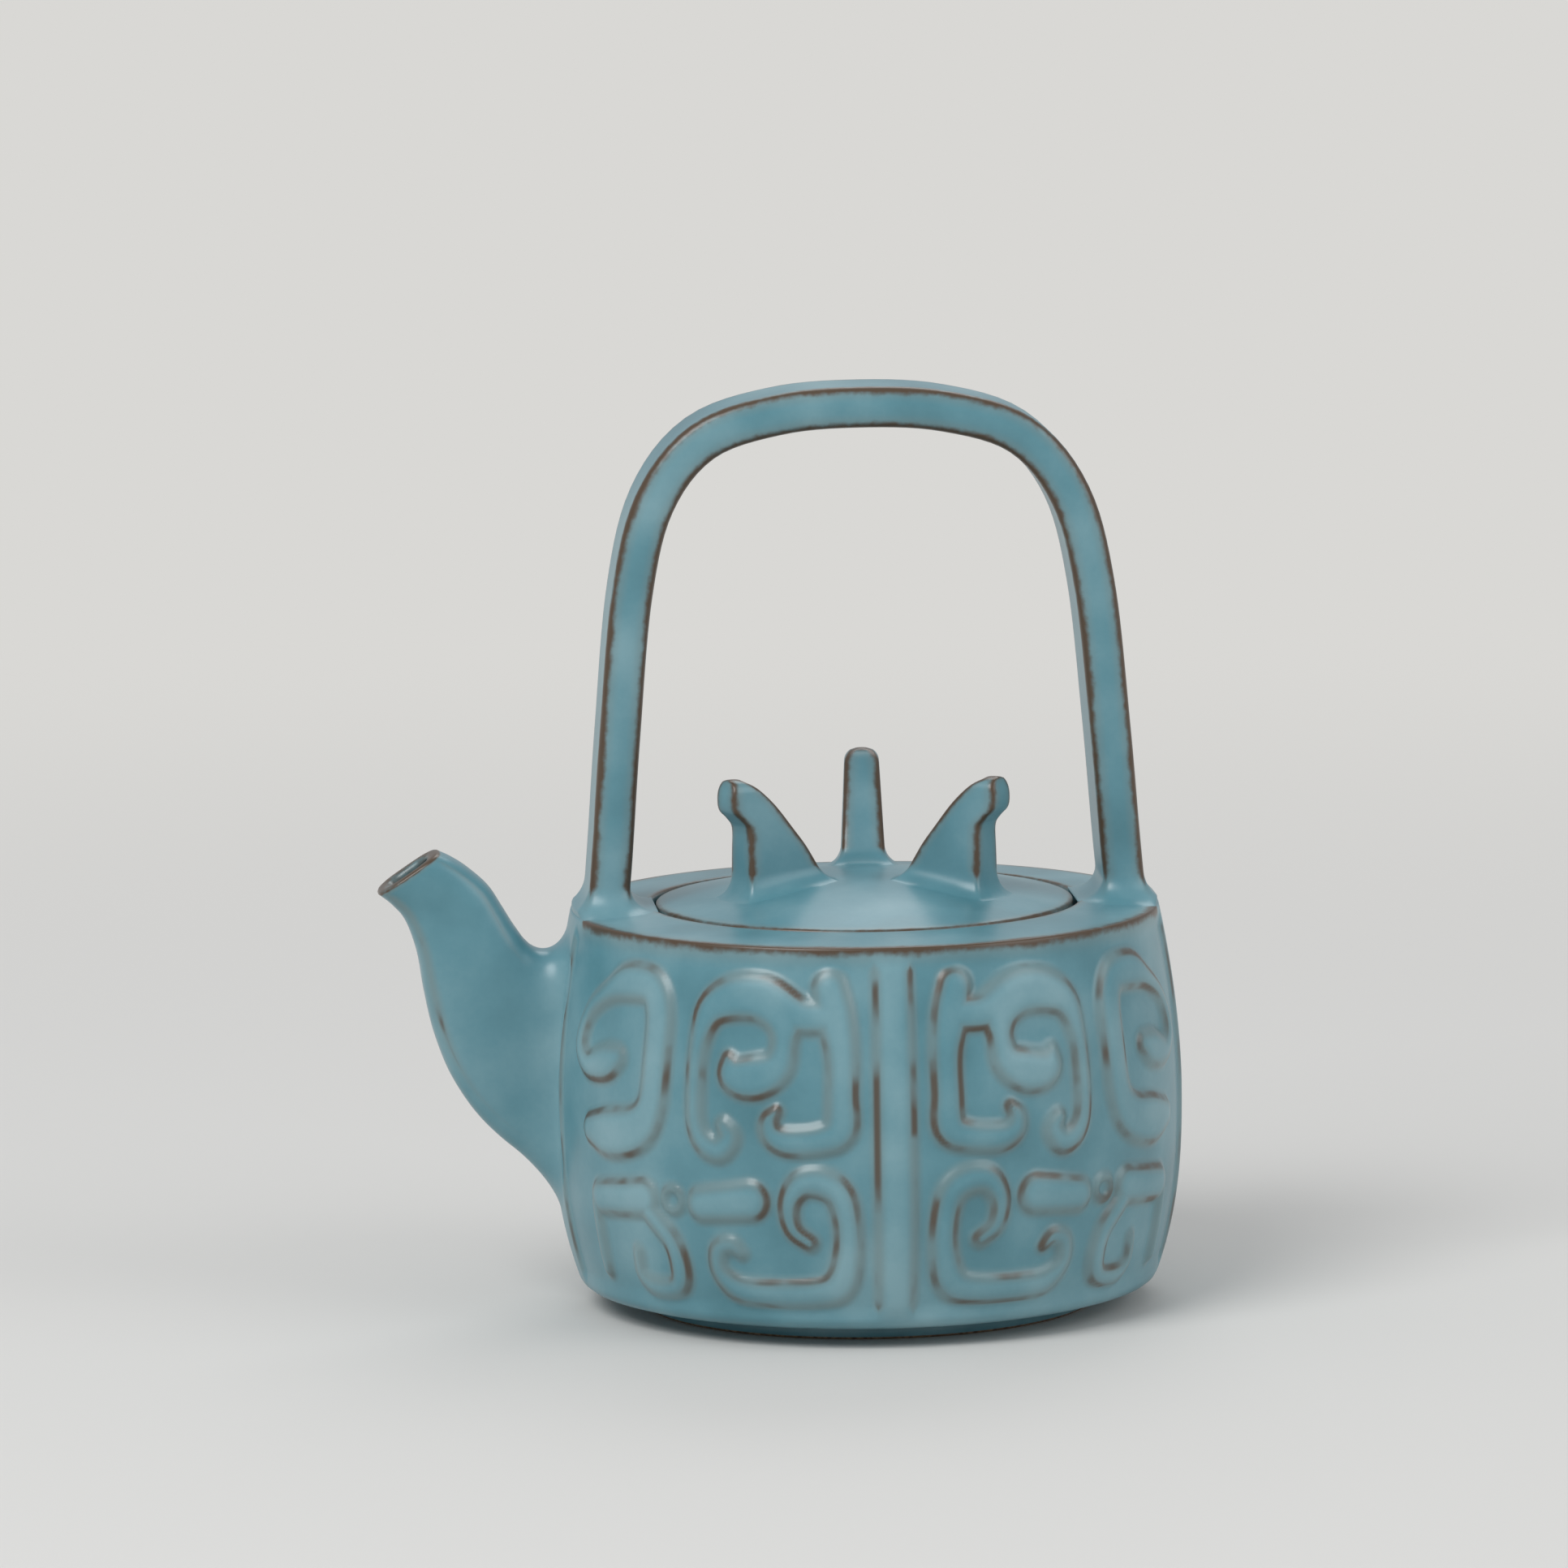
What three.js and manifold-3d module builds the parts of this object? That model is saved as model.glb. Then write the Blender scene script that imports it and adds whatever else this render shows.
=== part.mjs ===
// A glazed stoneware ewer: a drum-shaped pot with a fixed arch handle over it, a hooked spout,
// and a loose lid with three upright fins. Millimetres, +Z up, spout towards -X.
// The pieces are the ones a potter casts or cuts and then joins with slip; only the lid lifts off.
import * as THREE from "three";
import { mergeVertices } from "three/addons/utils/BufferGeometryUtils.js";
import Module from "manifold-3d";

const wasm = await Module();
wasm.setup();

// Driving dimensions, in millimetres.
const rimRadius = 60.5; // sharp upper edge of the drum
const rimHeight = 82.3;
const bellyRadius = 65; // widest place
const bellyHeight = 44;
const baseRadius = 59.5; // lower edge of the drum
const baseHeight = 5.4;
const roundingBelow = 2.6; // powers of the outline's curve: nearly straight at the belly, then round
const roundingAbove = 1.8;
const wallThickness = 4;
const clearance = 0.3; // slip line between two joined pieces

const footOuterRadius = 47;
const footInnerRadius = 42;
const footHeight = 3.4;
const footRound = 0.9;
const footFlare = 0.6; // the foot is this much wider where it joins the pot
const floorTop = 7.7;
const floorJointRadius = 48.2; // where the wall's turned-in edge meets the floor
const heelRadius = 56.5; // where the underside begins to round up into the wall
const heelLift = 0.2;
const innerCorner = 2; // chamfer inside, between wall and floor

const shoulderUnderside = 79.3;
const shoulderRise = 1; // the shoulder climbs this much towards the lid
const rimBandWidth = 6; // the shoulder's outer band, which climbs faster than the rest
const rimBandRise = 0.5;
const mouthRadius = 44.1; // shoulder's opening, round the lid
const mouthRound = 0.5;
const seatRadius = 39; // clear opening of the ledge that the lid sits on
const seatOuterRadius = 52;
const seatThickness = 3.3;

const lidRadius = 43;
const lidRise = 6; // crown of the lid over its edge
const crownPower = 1.15; // a little over 1 flattens the crown towards the lid's edge
const lidThickness = 3.6;
const lidEdgeDraft = 0.4;
const lidSteps = 8;
const hollowRadius = 33.4; // the lid is hollowed underneath inside this radius
const collarOuterRadius = 38;
const collarInnerRadius = 34.4;
const collarDepth = 7;
const collarTaper = 0.6; // the collar's lower edge is drawn in, so that it finds the mouth

const finFootThickness = 9.8;
const finTopThickness = 7;
const finBase = 84;
const finTop = 110.5;
const finTurn = 85.3; // degrees: the rear fin's direction from +X
// A fin's outline, as distance from the lid's axis and height: up the slanted inner edge, then
// down the beak and the upright outer edge.
const finFoot = [[11.4, finBase], [12.4, 90]];
const finSlant = [[15.1, 95.3], [18.7, 100.2], [22.7, 105.2], [27, 108.8], [30, finTop]];
const finBeak = [[32.7, 109.7], [32.5, 104], [29.3, 100.5], [29.2, finBase]];

const handleTop = 190; // crown of the arch
const handleHalfSpan = 53.2; // middle of a leg where it stands on the shoulder
const handleThickness = 8.4;
const handleDepth = 19;
const handleEdge = 1; // rounding along the bar's edges
const handleSteps = 36;
const archCrown = handleTop - handleThickness / 2;
// The middle line of half the arch, as distance from the axis and height, from foot to crown.
const archLine = [
  [handleHalfSpan, rimHeight + 0.4],
  [50.4, 119],
  [47.5, 148],
  [42.6, 167],
  [32.6, 179.4],
  [17, archCrown - 1.2],
  [0, archCrown],
];

const spoutWall = 3;
const spoutSquareness = 2.7; // 2 is an oval, more squares its corners
const spoutColumns = 24;
const strainerHole = 5;
const strainerPitch = 7;
const strainerHeight = 49; // middle hole
const strainerCount = 5; // one column, because the bore is narrow

const roundSteps = 72; // facets round the axis
const cutterLow = 60; // the cutters reach down to here, well under what they trim
const cutterMargin = 8;
const cutterSteps = 16;

const glaze = { color: 0x5e9fae, roughness: 0.3, metalness: 0 };
const bareClay = { color: 0x8a7a6a, roughness: 0.85, metalness: 0 };

// The drum's outer radius at a height between its lower and upper edges.
function drumRadius(z) {
  const below = (bellyHeight - z) / (bellyHeight - baseHeight);
  const above = (z - bellyHeight) / (rimHeight - bellyHeight);
  if (z < bellyHeight) return bellyRadius - (bellyRadius - baseRadius) * Math.abs(below) ** roundingBelow;
  return bellyRadius - (bellyRadius - rimRadius) * above ** roundingAbove;
}

// Points of the drum's outline from one height to another, at a distance inside the surface.
function drumOutline(fromZ, toZ, steps, inset = 0) {
  const points = [];
  for (let i = 0; i <= steps; i += 1) {
    const z = fromZ + ((toZ - fromZ) * i) / steps;
    points.push([drumRadius(Math.min(Math.max(z, baseHeight), rimHeight)) - inset, z]);
  }
  return points;
}

function latheOf(points) {
  const profile = points.map(([r, z]) => new THREE.Vector2(r, z));
  const geometry = new THREE.LatheGeometry(profile, roundSteps);
  return geometry.rotateX(Math.PI / 2);
}

// A ring whose outline closes on itself. The outline runs the way that turns its faces outwards.
function ringOf(points) {
  return latheOf([...points, points[0]]);
}

function solidOf(geometry) {
  const bare = geometry.clone();
  bare.deleteAttribute("normal");
  bare.deleteAttribute("uv");
  const merged = mergeVertices(bare, 1e-3);
  const vertProperties = merged.attributes.position.array;
  const triVerts = new Uint32Array(merged.index.array);
  const solid = new wasm.Manifold(new wasm.Mesh({ numProp: 3, vertProperties, triVerts }));
  if (solid.volume() > 0) return solid;
  for (let i = 0; i < triVerts.length; i += 3) {
    [triVerts[i + 1], triVerts[i + 2]] = [triVerts[i + 2], triVerts[i + 1]];
  }
  return new wasm.Manifold(new wasm.Mesh({ numProp: 3, vertProperties, triVerts }));
}

function geometryOf(solid) {
  const mesh = solid.getMesh();
  const geometry = new THREE.BufferGeometry();
  geometry.setAttribute("position", new THREE.BufferAttribute(mesh.vertProperties, 3));
  geometry.setIndex(new THREE.BufferAttribute(mesh.triVerts, 1));
  const flat = geometry.toNonIndexed();
  flat.computeVertexNormals();
  return flat;
}

function piece(name, geometry, finish = glaze) {
  const mesh = new THREE.Mesh(geometryOf(solidOf(geometry)), new THREE.MeshStandardMaterial(finish));
  mesh.name = name;
  return mesh;
}

// The drum wall, turned in at the bottom to meet the floor and pierced behind the spout.
function bodyWall() {
  const top = shoulderUnderside - clearance;
  const outside = drumOutline(baseHeight, top, 9);
  const inside = drumOutline(floorTop + innerCorner, top, 4, wallThickness).reverse();
  const blank = solidOf(
    ringOf([
      [floorJointRadius, footHeight + clearance],
      [heelRadius, footHeight + clearance + heelLift],
      ...outside,
      ...inside,
      [drumRadius(floorTop) - wallThickness - innerCorner, floorTop],
      [floorJointRadius, floorTop],
    ]),
  );
  return geometryOf(blank.subtract(strainerDrills()));
}

// A column of round holes through the wall, inside the spout's bore.
function strainerDrills() {
  const drills = [];
  for (let i = 0; i < strainerCount; i += 1) {
    const z = strainerHeight + (i - (strainerCount - 1) / 2) * strainerPitch;
    const length = wallThickness * 6;
    const drill = new THREE.CylinderGeometry(strainerHole / 2, strainerHole / 2, length, 12);
    drill.rotateZ(Math.PI / 2).translate(-bellyRadius, 0, z);
    drills.push(solidOf(drill));
  }
  return drills.reduce((joined, drill) => joined.add(drill));
}

function baseFloor() {
  const radius = floorJointRadius - clearance;
  const underside = footHeight + clearance;
  return latheOf([
    [0, underside],
    [radius, underside],
    [radius, floorTop],
    [0, floorTop],
  ]);
}

function footRing() {
  return ringOf([
    [footInnerRadius + footRound, 0],
    [footOuterRadius - footRound, 0],
    [footOuterRadius, footRound],
    [footOuterRadius + footFlare, footHeight],
    [footInnerRadius, footHeight],
    [footInnerRadius, footRound],
  ]);
}

// The nearly flat plate that closes the drum, with its sharp rim and the opening for the lid.
function shoulder() {
  const top = rimHeight + shoulderRise;
  return ringOf([
    [mouthRadius, shoulderUnderside],
    [drumRadius(shoulderUnderside), shoulderUnderside],
    [rimRadius, rimHeight],
    [rimRadius - rimBandWidth, rimHeight + rimBandRise],
    [mouthRadius + mouthRound, top],
    [mouthRadius, top - mouthRound],
  ]);
}

function lidSeat() {
  const top = shoulderUnderside - clearance;
  return ringOf([
    [seatRadius, top - seatThickness],
    [seatOuterRadius, top - seatThickness],
    [seatOuterRadius, top],
    [seatRadius, top],
  ]);
}

// Height of the lid's upper face over a radius: a low crown that flattens towards the edge.
function lidHeight(r) {
  const inward = 1 - (r / lidRadius) ** 2;
  return rimHeight + shoulderRise + lidRise * Math.max(inward, 0) ** crownPower;
}

// Points of the lid's upper face from its edge to the axis, at a height over the surface.
function lidCrown(lift = 0) {
  const points = [];
  for (let i = 0; i <= lidSteps; i += 1) {
    const r = (lidRadius * (lidSteps - i)) / lidSteps;
    points.push([r, lidHeight(r) + lift]);
  }
  return points;
}

function lidDisc() {
  const hollow = lidCrown()
    .filter(([r]) => r < hollowRadius)
    .map(([r, z]) => [r, z - lidThickness])
    .reverse();
  return latheOf([
    ...hollow,
    [collarInnerRadius, shoulderUnderside],
    [lidRadius - lidEdgeDraft, shoulderUnderside],
    ...lidCrown(),
  ]);
}

function lidCollar() {
  const top = shoulderUnderside - clearance;
  return ringOf([
    [collarInnerRadius, top - collarDepth],
    [collarOuterRadius - collarTaper, top - collarDepth],
    [collarOuterRadius, top],
    [collarInnerRadius, top],
  ]);
}

// One fin, standing radially on the lid: a slanted plate with a beak at its outer top corner.
function lidFin() {
  const profile = new THREE.Shape();
  profile.moveTo(...finFoot[0]);
  profile.lineTo(...finFoot[1]);
  profile.splineThru(finSlant.map(([r, z]) => new THREE.Vector2(r, z)));
  finBeak.forEach(([r, z]) => profile.lineTo(r, z));
  const plate = new THREE.ExtrudeGeometry(profile, { depth: 1, bevelEnabled: false, curveSegments: 2 });
  plate.translate(0, 0, -0.5).rotateX(Math.PI / 2);
  const points = plate.attributes.position;
  for (let i = 0; i < points.count; i += 1) {
    const climb = (points.getZ(i) - finBase) / (finTop - finBase);
    points.setY(i, points.getY(i) * (finFootThickness + (finTopThickness - finFootThickness) * climb));
  }
  return plate;
}

// The lid's upper face raised by the slip line, as a solid that fins are cut with.
function lidCutter() {
  return solidOf(latheOf([[0, cutterLow], [lidRadius, cutterLow], ...lidCrown(clearance)]));
}

function fins() {
  const names = ["fin_rear", "fin_left", "fin_right"];
  const cutter = lidCutter();
  return names.map((name, i) => {
    const turn = THREE.MathUtils.degToRad(finTurn + (i * 360) / names.length);
    const plate = lidFin().rotateZ(turn);
    return piece(name, geometryOf(solidOf(plate).subtract(cutter)));
  });
}

// The arch in the XZ plane: two legs leaning inwards, round corners and a slightly crowned top.
function archHandle() {
  const half = handleThickness / 2 - handleEdge;
  const mirrored = archLine.slice(0, -1).reverse().map(([x, z]) => [-x, z]);
  const line = new THREE.SplineCurve([...archLine, ...mirrored].map(([x, z]) => new THREE.Vector2(x, z)));
  const outer = [];
  const inner = [];
  for (let i = 0; i <= handleSteps; i += 1) {
    const at = line.getPointAt(i / handleSteps);
    const along = line.getTangentAt(i / handleSteps);
    outer.push(new THREE.Vector2(at.x + along.y * half, at.y - along.x * half));
    inner.push(new THREE.Vector2(at.x - along.y * half, at.y + along.x * half));
  }
  const bar = new THREE.ExtrudeGeometry(new THREE.Shape([...outer, ...inner.reverse()]), {
    depth: handleDepth - 2 * handleEdge,
    bevelThickness: handleEdge,
    bevelSize: handleEdge,
    bevelSegments: 2,
  });
  bar.rotateX(Math.PI / 2).translate(0, handleDepth / 2 - handleEdge, 0);
  return geometryOf(solidOf(bar).subtract(shoulderCutter()));
}

// The shoulder's upper face raised by the slip line, as a solid that the handle's feet are cut with.
function shoulderCutter() {
  const top = rimHeight + shoulderRise + clearance;
  return solidOf(
    latheOf([
      [0, cutterLow],
      [rimRadius + cutterMargin, cutterLow],
      [rimRadius + cutterMargin, rimHeight + clearance],
      [rimRadius, rimHeight + clearance],
      [rimRadius - rimBandWidth, rimHeight + rimBandRise + clearance],
      [mouthRadius, top],
      [0, top],
    ]),
  );
}

// The spout's stations from the root to the mouth: its lower and upper points in the XZ plane and
// half its width across. The last station is the mouth, which faces up and away from the pot.
const spoutStations = [
  { low: [-52, 25], high: [-50, 69], half: 8 },
  { low: [-68, 30], high: [-58, 70], half: 8 },
  { low: [-78.5, 38.6], high: [-64, 72], half: 7.9 },
  { low: [-85.2, 48], high: [-69, 75.4], half: 7.8 },
  { low: [-89, 57.5], high: [-72.2, 79.6], half: 7.7 },
  { low: [-91, 66.5], high: [-74.6, 83.6], half: 7.5 },
  { low: [-92.3, 74.6], high: [-77.4, 88], half: 7.3 },
  { low: [-94.6, 81.4], high: [-81.4, 91.7], half: 7.1 },
  { low: [-97.4, 84.9], high: [-84.6, 93.9], half: 7 },
  { low: [-100.3, 87.2], high: [-87.6, 95.4], half: 6.9 },
];

// One ring of points round a station: an oval with squared corners, drawn in by a wall thickness.
function spoutRing({ low, high, half }, inset) {
  const middle = [(low[0] + high[0]) / 2, (low[1] + high[1]) / 2];
  const reach = Math.hypot(high[0] - low[0], high[1] - low[1]) / 2;
  const up = [(high[0] - low[0]) / (2 * reach), (high[1] - low[1]) / (2 * reach)];
  const ring = [];
  for (let i = 0; i < spoutColumns; i += 1) {
    const turn = (i * 2 * Math.PI) / spoutColumns;
    const c = Math.cos(turn);
    const s = Math.sin(turn);
    const u = Math.sign(c) * Math.abs(c) ** (2 / spoutSquareness) * (reach - inset);
    const v = Math.sign(s) * Math.abs(s) ** (2 / spoutSquareness) * (half - inset);
    ring.push([middle[0] + up[0] * u, v, middle[1] + up[1] * u]);
  }
  return ring;
}

// The hollow spout: outer rings to the mouth and inner rings back, cut to the drum it stands on.
function spout() {
  const outer = spoutStations.map((station) => spoutRing(station, 0));
  const bore = spoutStations.map((station) => spoutRing(station, spoutWall)).reverse();
  const rings = [...outer, ...bore];
  const positions = rings.flat(2);
  const index = [];
  for (let i = 0; i < rings.length; i += 1) {
    const next = ((i + 1) % rings.length) * spoutColumns;
    for (let j = 0; j < spoutColumns; j += 1) {
      const a = i * spoutColumns + j;
      const b = i * spoutColumns + ((j + 1) % spoutColumns);
      const c = next + ((j + 1) % spoutColumns);
      const d = next + j;
      index.push(a, b, c, a, c, d);
    }
  }
  const geometry = new THREE.BufferGeometry();
  geometry.setAttribute("position", new THREE.Float32BufferAttribute(positions, 3));
  geometry.setIndex(index);
  const face = drumOutline(baseHeight, rimHeight, cutterSteps, -clearance);
  const drum = latheOf([[0, baseHeight], ...face, [0, rimHeight]]);
  return geometryOf(solidOf(geometry).subtract(solidOf(drum)));
}

const pot = new THREE.Group();
pot.add(
  piece("body_wall", bodyWall()),
  piece("base_floor", baseFloor()),
  piece("foot_ring", footRing(), bareClay),
  piece("shoulder", shoulder()),
  piece("lid_seat", lidSeat()),
  piece("spout", spout()),
  piece("handle", archHandle()),
);

const lid = new THREE.Group();
lid.add(piece("lid_disc", lidDisc()), piece("lid_collar", lidCollar()), ...fins());

// The frame's origin is under the middle of the whole ewer, on the surface it stands on.
const ewer = new THREE.Group();
ewer.add(pot, lid);
const extent = new THREE.Box3().setFromObject(ewer);
ewer.position.x = -(extent.min.x + extent.max.x) / 2;

export default ewer;
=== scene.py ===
# Blue-green glazed stoneware ewer: drum-shaped pot with relief, arch handle, hooked spout,
# and a loose lid with three fins. Shapes are worked out in millimetres round the pot's axis.
import math

import bmesh
import bpy
import numpy as np
from mathutils import Matrix, Vector


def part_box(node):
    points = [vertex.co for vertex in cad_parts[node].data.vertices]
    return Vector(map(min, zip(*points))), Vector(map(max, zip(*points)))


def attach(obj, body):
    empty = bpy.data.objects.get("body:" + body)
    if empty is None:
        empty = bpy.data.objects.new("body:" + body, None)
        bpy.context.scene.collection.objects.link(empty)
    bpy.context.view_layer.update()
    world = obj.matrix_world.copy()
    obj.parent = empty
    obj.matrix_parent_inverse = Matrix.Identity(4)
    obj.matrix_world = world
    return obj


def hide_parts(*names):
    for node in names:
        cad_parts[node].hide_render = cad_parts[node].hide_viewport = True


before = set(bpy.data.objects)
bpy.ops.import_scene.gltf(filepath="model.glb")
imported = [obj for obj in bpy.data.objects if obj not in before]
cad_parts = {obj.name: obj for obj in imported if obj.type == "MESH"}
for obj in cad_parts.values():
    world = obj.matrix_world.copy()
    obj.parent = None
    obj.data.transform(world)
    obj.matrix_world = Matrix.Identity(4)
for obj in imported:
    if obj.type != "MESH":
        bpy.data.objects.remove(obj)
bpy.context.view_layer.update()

mm = 0.001
footLow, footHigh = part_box("foot_ring")
axisX = (footLow[0] + footHigh[0]) / 2  # the pot's axis in the frame, metres

# camera, at the photograph's viewing angle
cameraValues = {
    "azimuth": 4.7,  # degrees towards the spout side
    "pitch": 7.937,  # degrees down
    "roll": 0.75,
    "distance": 2.235,  # metres, level, to the pot's axis
    "height": 0.419,
    "aside": 0.0162,  # the axis stands this far right of the picture's middle
    "focalPixels": 13530,
    "framePixels": 1932,
    "sensor": 36,
}


def addCamera(values):
    turn, pitch, roll = (math.radians(values[k]) for k in ("azimuth", "pitch", "roll"))
    level = Vector((math.sin(turn), math.cos(turn), 0))
    right = Vector((math.cos(turn), -math.sin(turn), 0))
    place = Vector((axisX, 0, values["height"])) - level * values["distance"] - right * values["aside"]
    ahead = level * math.cos(pitch) + Vector((0, 0, -math.sin(pitch)))
    up = right.cross(ahead)
    rolledUp = up * math.cos(roll) + right * math.sin(roll)
    rolledRight = right * math.cos(roll) - up * math.sin(roll)
    data = bpy.data.cameras.new("camera")
    data.sensor_width = values["sensor"]
    data.lens = values["focalPixels"] / values["framePixels"] * values["sensor"]
    data.clip_end = 100
    camera = bpy.data.objects.new("camera", data)
    bpy.context.collection.objects.link(camera)
    camera.matrix_world = Matrix.Translation(place) @ Matrix(
        [[rolledRight[i], rolledUp[i], -ahead[i]] for i in range(3)]
    ).to_4x4()
    bpy.context.scene.camera = camera


addCamera(cameraValues)
print("camera placed")

# glaze and clay

glazeValues = {
    "deep": "#427580",  # pooled glaze, in the hollows
    "middle": "#598B97",
    "pale": "#7DA3AC",  # milky where it lies thick on a soft swelling
    "shadeAndThinGlaze": "#76827F",  # greyed: painted shade along each rounded relief border; beside a sharp edge, thinner glaze
    "brown": "#4E3D2C",  # iron showing where glaze runs off a sharp edge; deep inside the spout, painted shade
    "roughness": 0.34,
    "ior": 1.52,
    "mottleMm": 22,
    "grainMm": 1.6,
    "breakMm": 12,  # the brown comes and goes at about this length along a border
    "edgeMm": 1.5,  # width of the brown line along a sharp edge
    "bandEdgeMm": 0.6,  # width of the brown on a relief band's border
    "haloMm": 2.2,  # width of the painted shade, greyed, beside it
}
clayValues = {"dark": "#5E4A38", "light": "#8F7A62", "roughness": 0.85, "grainMm": 0.9}


def linear(hexColour):
    channels = [int(hexColour[i : i + 2], 16) / 255 for i in (1, 3, 5)]
    return tuple(c / 12.92 if c <= 0.04045 else ((c + 0.055) / 1.055) ** 2.4 for c in channels) + (1,)


def addNode(tree, kind, settings=None, inputs=None, links=None):
    node = tree.nodes.new(kind)
    for key, value in (settings or {}).items():
        setattr(node, key, value)
    for key, value in (inputs or {}).items():
        node.inputs[key].default_value = value
    for key, socket in (links or {}).items():
        tree.links.new(socket, node.inputs[key])
    return node


def startMaterial(name):
    material = bpy.data.materials.new(name)
    material.use_nodes = True
    material.node_tree.nodes.clear()
    return material, material.node_tree


def scaleFor(sizeMm):
    return 1 / (sizeMm * mm)


# Stoneware dipped in a satin copper-blue glaze and fired: soft broad highlights, a faint
# orange-peel surface, mottling where the glaze lies thick, brown where it breaks on edges;
# painted shade: grey along the relief's borders, brown deep inside the spout.
def glazedStoneware(values):
    material, tree = startMaterial("satin glazed stoneware")
    place = addNode(tree, "ShaderNodeTexCoord").outputs["Object"]

    patterns = {}
    for name, sizeMm, detail in (("mottle", values["mottleMm"], 2), ("grain", values["grainMm"], 3),
                                 ("breaks", values["breakMm"], 2)):
        patterns[name] = addNode(tree, "ShaderNodeTexNoise", {}, {"Scale": scaleFor(sizeMm), "Detail": detail},
                                 {"Vector": place}).outputs["Fac"]
    mottle, grain, breaks = patterns["mottle"], patterns["grain"], patterns["breaks"]
    layers = {}
    for name in ("swelling", "edgeDist", "bandDist"):
        layers[name] = addNode(tree, "ShaderNodeAttribute", {"attribute_name": name}).outputs["Fac"]

    uneven = addNode(tree, "ShaderNodeMath", {"operation": "MULTIPLY_ADD"}, {1: 0.1}, {0: grain, 2: mottle})
    thickness = addNode(tree, "ShaderNodeMath", {"operation": "MULTIPLY_ADD"}, {1: 0.3},
                        {0: layers["swelling"], 2: uneven.outputs[0]})
    ramp = addNode(tree, "ShaderNodeValToRGB", {}, {}, {"Fac": thickness.outputs[0]})
    ramp.color_ramp.elements[0].position = 0.3
    ramp.color_ramp.elements[0].color = linear(values["deep"])
    ramp.color_ramp.elements[1].position = 0.95
    ramp.color_ramp.elements[1].color = linear(values["pale"])
    ramp.color_ramp.elements.new(0.6).color = linear(values["middle"])

    # the brown line wanders: its distance from the edge is moved by the two finer patterns
    wander = addNode(tree, "ShaderNodeMath", {"operation": "MULTIPLY_ADD"}, {1: 1.5}, {0: breaks, 2: grain})
    edgeMoved = addNode(tree, "ShaderNodeMath", {"operation": "MULTIPLY_ADD"}, {1: values["edgeMm"] * 0.7},
                        {0: wander.outputs[0], 2: layers["edgeDist"]}).outputs[0]
    masks = {}  # each is full under its first bound and gone over the second
    for name, source, full, gone, most in (
        ("edge", edgeMoved, values["edgeMm"] * 1.05, values["edgeMm"] * 1.9, 1),
        ("run", breaks, 0.36, 0.56, 0.9),  # only here and there does a relief border go brown
        ("band", layers["bandDist"], values["bandEdgeMm"] * 0.4, values["bandEdgeMm"] * 1.8, 1),
        # painted shade, grey, beside each band's and strip's rounded border and along the spout's corner lines
        ("paintedBandShade", layers["bandDist"], 0.1, values["haloMm"], 0.5),
        ("edgeHalo", layers["edgeDist"], 0.6, values["haloMm"] * 1.4, 0.4),
    ):
        masks[name] = addNode(tree, "ShaderNodeMapRange", {"interpolation_type": "SMOOTHSTEP"},
                              {"From Min": full, "From Max": gone, "To Min": most, "To Max": 0},
                              {"Value": source}).outputs["Result"]
    masks["band"] = addNode(tree, "ShaderNodeMath", {"operation": "MULTIPLY"}, {},
                            {0: masks["band"], 1: masks["run"]}).outputs[0]
    colour = ramp.outputs["Color"]
    for tint, mask in (("shadeAndThinGlaze", "paintedBandShade"), ("shadeAndThinGlaze", "edgeHalo"), ("brown", "band"), ("brown", "edge")):
        colour = addNode(tree, "ShaderNodeMix", {"data_type": "RGBA"}, {7: linear(values[tint])},
                         {0: masks[mask], 6: colour}).outputs[2]

    roughness = addNode(tree, "ShaderNodeMath", {"operation": "MULTIPLY_ADD"},
                        {1: 0.16, 2: values["roughness"] - 0.07}, {0: mottle}).outputs[0]
    height = addNode(tree, "ShaderNodeMath", {"operation": "MULTIPLY_ADD"}, {1: 0.25}, {0: grain, 2: mottle})
    bump = addNode(tree, "ShaderNodeBump", {}, {"Strength": 0.16, "Distance": 0.3 * mm},
                   {"Height": height.outputs[0]})
    shader = addNode(tree, "ShaderNodeBsdfPrincipled", {}, {"IOR": values["ior"], "Coat Weight": 0.14,
                     "Coat Roughness": 0.24}, {"Base Color": colour, "Roughness": roughness,
                     "Normal": bump.outputs["Normal"]})
    addNode(tree, "ShaderNodeOutputMaterial", {}, {}, {"Surface": shader.outputs["BSDF"]})
    return material


# The foot is wiped clean of glaze before firing, so it shows dry, slightly gritty clay.
def bareStoneware(values):
    material, tree = startMaterial("unglazed stoneware clay")
    place = addNode(tree, "ShaderNodeTexCoord").outputs["Object"]
    grain = addNode(tree, "ShaderNodeTexNoise", {}, {"Scale": scaleFor(values["grainMm"]), "Detail": 6},
                    {"Vector": place}).outputs["Fac"]
    ramp = addNode(tree, "ShaderNodeValToRGB", {}, {}, {"Fac": grain})
    ramp.color_ramp.elements[0].position = 0.35
    ramp.color_ramp.elements[0].color = linear(values["dark"])
    ramp.color_ramp.elements[1].position = 0.65
    ramp.color_ramp.elements[1].color = linear(values["light"])
    bump = addNode(tree, "ShaderNodeBump", {}, {"Strength": 0.4, "Distance": 0.3 * mm}, {"Height": grain})
    shader = addNode(tree, "ShaderNodeBsdfPrincipled", {}, {"Roughness": values["roughness"]},
                     {"Base Color": ramp.outputs["Color"], "Normal": bump.outputs["Normal"]})
    addNode(tree, "ShaderNodeOutputMaterial", {}, {}, {"Surface": shader.outputs["BSDF"]})
    return material


glaze = glazedStoneware(glazeValues)
clay = bareStoneware(clayValues)
print("materials made")

# mesh helpers: points are rows of (x, y, z) in millimetres round the pot's axis
farFromEdge = 50.0


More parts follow.
